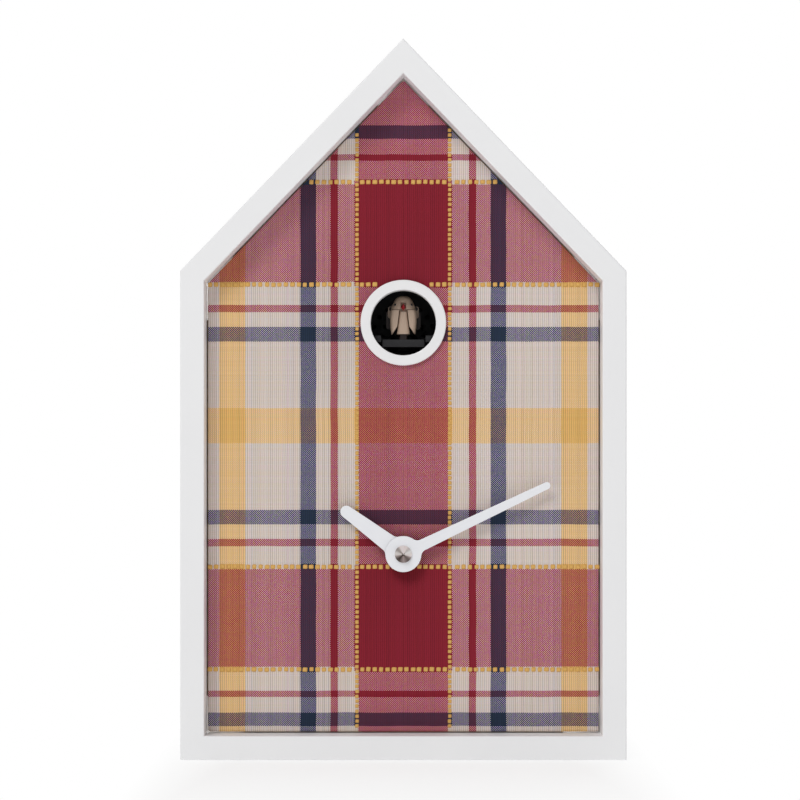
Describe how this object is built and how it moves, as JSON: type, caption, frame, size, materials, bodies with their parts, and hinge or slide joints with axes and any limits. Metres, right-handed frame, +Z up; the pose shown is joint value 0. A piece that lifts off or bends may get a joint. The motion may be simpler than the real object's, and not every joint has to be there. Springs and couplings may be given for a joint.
{
  "type": "cuckoo clock",
  "caption": "House-shaped wall and shelf cuckoo clock with a white frame, checked fabric dial, round porthole and sliding bird.",
  "frame": {"origin": "centre of the keyhole hanger's entry hole, in the back plane of the case", "axes": "+X to the right seen from the front, -Y out of the dial, +Y into the wall, +Z up"},
  "size_m": [0.24, 0.1, 0.388],
  "materials": {
    "white_lacquer": "satin white lacquer",
    "bare_wood": "bare birch plywood and spruce",
    "dial_fabric": "woven checked cotton",
    "white_plastic": "satin white",
    "hand_paint": "white paint",
    "steel": "bright",
    "plated_steel": "zinc plated",
    "spun_metal": "spun, bright",
    "brass": "turned",
    "rubber": "matt",
    "black_plastic": "moulded, fine texture",
    "grey_plastic": "moulded",
    "gear_plastic": "natural acetal",
    "battery_skin": "printed sleeve, plain",
    "circuit": "solder mask",
    "stator_steel": "stamped",
    "copper": "enamelled copper wire",
    "motor_can": "drawn can",
    "speaker_steel": "black",
    "paper_cone": "pressed paper",
    "bird_paint": "cream paint",
    "beak_red": "red paint",
    "eye_black": "gloss",
    "brown_plastic": "moulded",
    "wire_pvc": "red and black PVC"
  },
  "bodies": {
    "case": {"base_board": "white_lacquer", "right_side_board": "white_lacquer", "right_roof_board": "white_lacquer", "left_roof_board": "white_lacquer", "left_side_board": "white_lacquer", "panel_battens": "bare_wood", "panel_screws": "steel", "dial_panel": "bare_wood", "fabric_face": "dial_fabric", "porthole_ring": "white_plastic", "hanging_rail": "bare_wood", "hanger_plate": "plated_steel", "hanger_screws": "steel", "movement_front_case": "black_plastic", "movement_back_cover": "black_plastic", "threaded_bush": "brass", "rubber_washer": "rubber", "dial_nut": "brass", "movement_cell": "battery_skin", "movement_circuit": "circuit", "motor_stator": "stator_steel", "motor_coil": "copper", "bird_chamber": "black_plastic", "chamber_cover": "black_plastic", "speaker_frame": "speaker_steel", "speaker_cone": "paper_cone", "guide_rails": "grey_plastic", "gear_bracket": "grey_plastic", "drive_motor": "motor_can", "battery_holder": "black_plastic", "cuckoo_cells": "battery_skin", "cell_contacts": "plated_steel", "control_housing": "black_plastic", "control_circuit": "circuit", "wire_leads": "wire_pvc"},
    "minute_group": {"minute_shaft": "steel", "centre_wheel": "gear_plastic", "minute_hand": "hand_paint", "hand_nut": "spun_metal"},
    "hour_group": {"hour_wheel": "gear_plastic", "hour_hand": "hand_paint"},
    "minute_work": {"minute_work_wheel": "gear_plastic"},
    "third": {"third_wheel": "gear_plastic"},
    "seconds": {"seconds_wheel": "gear_plastic"},
    "rotor": {"motor_rotor": "gear_plastic"},
    "setting": {"setting_knob": "black_plastic"},
    "bird": {"bird_carriage": "grey_plastic", "bird_stem": "brown_plastic", "bird_body": "bird_paint", "upper_beak": "beak_red", "bird_eyes": "eye_black", "bird_back_plate": "brown_plastic"},
    "left_wing_body": {"left_wing": "bird_paint"},
    "right_wing_body": {"right_wing": "bird_paint"},
    "beak": {"lower_beak": "beak_red"},
    "drive": {"drive_gear": "gear_plastic"},
    "motor_shaft": {"motor_pinion": "gear_plastic"},
    "volume": {"volume_knob": "black_plastic"},
    "mode": {"mode_switch": "black_plastic"}
  },
  "joints": [
    {"name": "minute_turn", "type": "hinge", "parent": "case", "child": "minute_group", "pos_m": [0, -0.075, -0.2075], "axis": [0, 1, 0], "continuous": true},
    {"name": "hour_turn", "type": "hinge", "parent": "case", "child": "hour_group", "pos_m": [0, -0.075, -0.2075], "axis": [0, 1, 0], "continuous": true},
    {"name": "minute_work_turn", "type": "hinge", "parent": "case", "child": "minute_work", "pos_m": [-0.0108, -0.075, -0.2075], "axis": [0, 1, 0], "continuous": true},
    {"name": "third_turn", "type": "hinge", "parent": "case", "child": "third", "pos_m": [0.00836, -0.075, -0.20165], "axis": [0, 1, 0], "continuous": true},
    {"name": "seconds_turn", "type": "hinge", "parent": "case", "child": "seconds", "pos_m": [0.0099, -0.075, -0.19287], "axis": [0, 1, 0], "continuous": true},
    {"name": "rotor_turn", "type": "hinge", "parent": "case", "child": "rotor", "pos_m": [0.00183, -0.075, -0.19145], "axis": [0, 1, 0], "continuous": true},
    {"name": "setting_turn", "type": "hinge", "parent": "case", "child": "setting", "pos_m": [-0.01699, -0.075, -0.19865], "axis": [0, 1, 0], "continuous": true},
    {"name": "bird_slide", "type": "slide", "parent": "case", "child": "bird", "axis": [0, -1, 0], "range_m": [0, 0.022]},
    {"name": "left_wing_flap", "type": "hinge", "parent": "bird", "child": "left_wing_body", "pos_m": [-0.0071, -0.065, -0.073], "axis": [0, 1, 0], "range_deg": [0, 25]},
    {"name": "right_wing_flap", "type": "hinge", "parent": "bird", "child": "right_wing_body", "pos_m": [0.0071, -0.065, -0.073], "axis": [0, 1, 0], "range_deg": [-25, 0]},
    {"name": "beak_open", "type": "hinge", "parent": "bird", "child": "beak", "pos_m": [0, -0.0736, -0.0724], "axis": [1, 0, 0], "range_deg": [0, 20]},
    {"name": "drive_turn", "type": "hinge", "parent": "case", "child": "drive", "pos_m": [0, -0.048, -0.1002], "axis": [1, 0, 0], "range_deg": [0, 316]},
    {"name": "motor_turn", "type": "hinge", "parent": "case", "child": "motor_shaft", "pos_m": [0, -0.04305, -0.10877], "axis": [1, 0, 0], "range_deg": [-986, 0]},
    {"name": "volume_turn", "type": "hinge", "parent": "case", "child": "volume", "pos_m": [0.041, -0.02, -0.076], "axis": [0, 1, 0], "range_deg": [-135, 135]},
    {"name": "mode_slide", "type": "slide", "parent": "case", "child": "mode", "axis": [0, 0, 1], "range_m": [-0.0035, 0.0035]}
  ],
  "couplings": [
    {"joint": "hour_turn", "follows": "minute_turn", "ratio": 0.083333},
    {"joint": "minute_work_turn", "follows": "minute_turn", "ratio": -0.33333},
    {"joint": "third_turn", "follows": "minute_turn", "ratio": -7.5},
    {"joint": "seconds_turn", "follows": "minute_turn", "ratio": 60},
    {"joint": "setting_turn", "follows": "minute_turn", "ratio": 1},
    {"joint": "right_wing_flap", "follows": "left_wing_flap", "ratio": -1},
    {"joint": "beak_open", "follows": "left_wing_flap", "ratio": 0.8},
    {"joint": "drive_turn", "follows": "bird_slide", "rad_per_m": 250},
    {"joint": "motor_turn", "follows": "bird_slide", "rad_per_m": -781.25}
  ]
}
